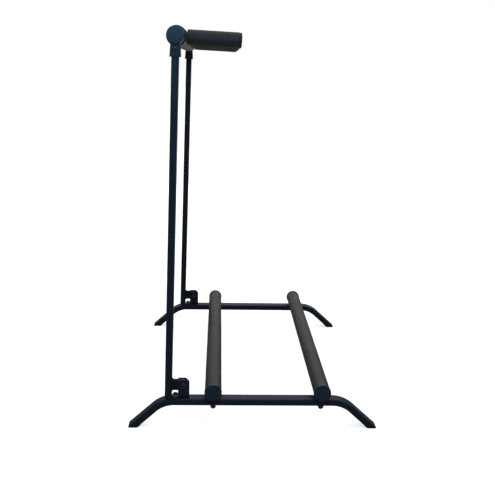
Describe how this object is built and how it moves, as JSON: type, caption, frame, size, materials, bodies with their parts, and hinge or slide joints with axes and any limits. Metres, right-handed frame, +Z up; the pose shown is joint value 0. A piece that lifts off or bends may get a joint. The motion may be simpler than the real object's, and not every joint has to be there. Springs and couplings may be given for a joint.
{
  "type": "folding multi-guitar stand",
  "caption": "Folding floor rack for guitars: padded base bars on bent rails, with a hinged upright frame and a padded neck bar with fingers.",
  "frame": {"origin": "on the floor, in the middle of the base: halfway between the two rails and halfway between the toes", "axes": "+Z up; -Y to the front, where the fingers point; +X to the right of someone standing in front of the stand"},
  "size_m": [0.601, 0.446, 0.6963],
  "materials": {
    "black_steel": "satin",
    "bare_steel": "satin",
    "dark_zinc": "satin",
    "foam": "matte",
    "black_plastic": "satin",
    "gloss_plastic": "gloss",
    "foot_rubber": "matte",
    "nylon": "satin"
  },
  "bodies": {
    "base": {"rail_left": "black_steel", "rail_right": "black_steel", "foot_front_left": "foot_rubber", "foot_rear_left": "foot_rubber", "foot_front_right": "foot_rubber", "foot_rear_right": "foot_rubber", "front_bar_tube": "bare_steel", "rear_bar_tube": "bare_steel", "front_bar_foam": "foam", "rear_bar_foam": "foam", "front_bar_cap_left": "gloss_plastic", "front_bar_cap_right": "gloss_plastic", "rear_bar_cap_left": "gloss_plastic", "rear_bar_cap_right": "gloss_plastic", "bar_saddles": "black_plastic", "rail_washers": "dark_zinc", "cap_nuts": "dark_zinc", "hinge_bracket_left": "black_steel", "hinge_bracket_right": "black_steel", "bracket_screws": "dark_zinc", "pivot_bolts": "dark_zinc", "pivot_nuts": "dark_zinc"},
    "upright_frame": {"upright_left": "black_steel", "upright_right": "black_steel", "pivot_washers": "nylon", "upright_plugs": "black_plastic", "knuckle_left": "black_plastic", "knuckle_right": "black_plastic", "knuckle_cap_left": "gloss_plastic", "knuckle_cap_right": "gloss_plastic", "knuckle_screws": "dark_zinc"},
    "neck_bar": {"neck_bar_tube": "bare_steel", "neck_bar_foam": "foam", "neck_bar_plugs": "black_plastic", "neck_bar_bolts": "bare_steel", "finger_screws": "bare_steel", "finger_rod_1": "bare_steel", "finger_rod_2": "bare_steel", "finger_rod_3": "bare_steel", "finger_rod_4": "bare_steel", "finger_foam_1": "foam", "finger_foam_2": "foam", "finger_foam_3": "foam", "finger_foam_4": "foam", "finger_cap_1": "gloss_plastic", "finger_cap_2": "gloss_plastic", "finger_cap_3": "gloss_plastic", "finger_cap_4": "gloss_plastic"}
  },
  "joints": [
    {"name": "fold", "type": "hinge", "parent": "base", "child": "upright_frame", "pos_m": [0, 0.125, 0.0775], "axis": [1, 0, 0], "range_deg": [0, 91.5]},
    {"name": "neck_turn", "type": "hinge", "parent": "upright_frame", "child": "neck_bar", "pos_m": [0, 0.13784, 0.67834], "axis": [1, 0, 0], "range_deg": [0, 90]}
  ]
}
